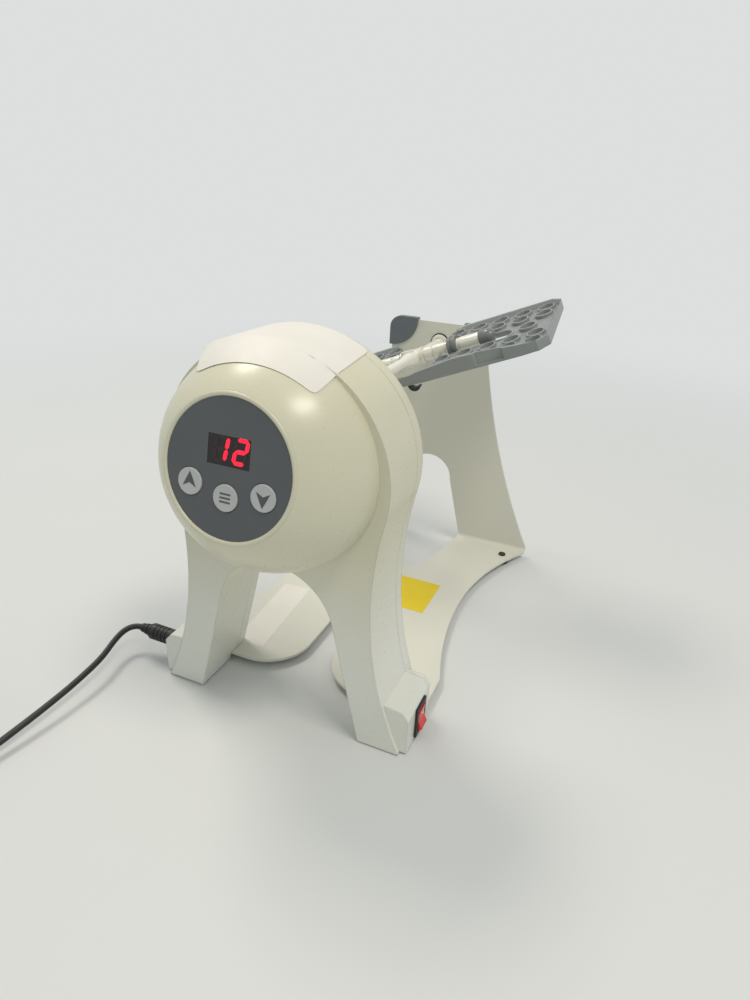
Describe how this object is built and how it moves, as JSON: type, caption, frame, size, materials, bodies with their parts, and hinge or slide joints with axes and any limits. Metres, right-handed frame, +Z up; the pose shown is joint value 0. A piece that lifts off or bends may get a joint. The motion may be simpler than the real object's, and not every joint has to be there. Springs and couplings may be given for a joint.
{
  "type": "tube rotator",
  "caption": "Bench tube rotator: a drum with a leaning round panel on splayed legs turns a perforated tube paddle end over end; a bent steel stand carries the far end.",
  "frame": {"origin": "on the bench, at the middle of the ground the rotator covers without its cord", "axes": "+Z up, -Y towards the control panel's side, +Y towards the upright, +X to the right seen from the panel; the rotor turns about the Y direction"},
  "size_m": [0.3223, 0.523, 0.2332],
  "materials": {
    "cream_abs": "smooth cream moulded ABS",
    "powder_coat": "cream powder coat on bent steel sheet",
    "dark_overlay": "dark grey printed polycarbonate overlay",
    "smoked_window": "smoked display window",
    "led_module": "red numeric display",
    "key_grey": "light grey keycap",
    "board_green": "circuit board",
    "plated_steel": "zinc plated steel",
    "black_nylon": "black moulded nylon",
    "guard_grey": "dark grey moulded edge guard",
    "foot_rubber": "black rubber",
    "switch_red": "red translucent rocker",
    "cord_pvc": "black PVC",
    "paddle_grey": "grey moulded ABS"
  },
  "bodies": {
    "stand_body": {"front_shell": "cream_abs", "rear_cover": "cream_abs", "control_panel": "dark_overlay", "display_window": "smoked_window", "display_module": "led_module", "circuit_board": "board_green", "gear_motor": "plated_steel", "motor_plate": "plated_steel", "drive_bush": "black_nylon", "cover_screws": "plated_steel", "deck_stand": "powder_coat", "corner_guards": "guard_grey", "far_bush": "black_nylon", "rubber_feet": "foot_rubber", "deck_screws": "plated_steel", "switch_bezel": "black_nylon", "switch_body": "black_nylon", "dc_socket": "black_nylon", "dc_plug": "cord_pvc", "plug_boot": "cord_pvc", "supply_cord": "cord_pvc", "cord_coil": "cord_pvc", "cord_tie": "black_nylon", "power_adapter": "black_nylon", "adapter_pins": "plated_steel"},
    "key_up_body": {"key_up": "key_grey"},
    "key_mode_body": {"key_mode": "key_grey"},
    "key_down_body": {"key_down": "key_grey"},
    "rocker_body": {"switch_rocker": "switch_red"},
    "rotor_body": {"drive_shaft": "plated_steel", "rotor": "cream_abs", "rod_knobs": "paddle_grey"},
    "paddle_body": {"paddle": "paddle_grey"}
  },
  "joints": [
    {"name": "key_up_press", "type": "slide", "parent": "stand_body", "child": "key_up_body", "axis": [0, 0.981, -0.1942], "range_m": [0, 0.0006], "stiffness_N_per_m": 400, "springref_m": -0.0006},
    {"name": "key_mode_press", "type": "slide", "parent": "stand_body", "child": "key_mode_body", "axis": [0, 0.981, -0.1942], "range_m": [0, 0.0006], "stiffness_N_per_m": 400, "springref_m": -0.0006},
    {"name": "key_down_press", "type": "slide", "parent": "stand_body", "child": "key_down_body", "axis": [0, 0.981, -0.1942], "range_m": [0, 0.0006], "stiffness_N_per_m": 400, "springref_m": -0.0006},
    {"name": "rocker_tilt", "type": "hinge", "parent": "stand_body", "child": "rocker_body", "pos_m": [0.083, -0.09254, 0.0137], "axis": [0, 1, 0], "range_deg": [0, 16]},
    {"name": "rotor_turn", "type": "hinge", "parent": "stand_body", "child": "rotor_body", "pos_m": [0, 0.09446, 0.183], "axis": [0, 1, 0], "continuous": true},
    {"name": "paddle_tilt", "type": "hinge", "parent": "rotor_body", "child": "paddle_body", "pos_m": [0, 0.09446, 0.183], "axis": [0.9212, 0, 0.3891], "range_deg": [0, 50]}
  ]
}
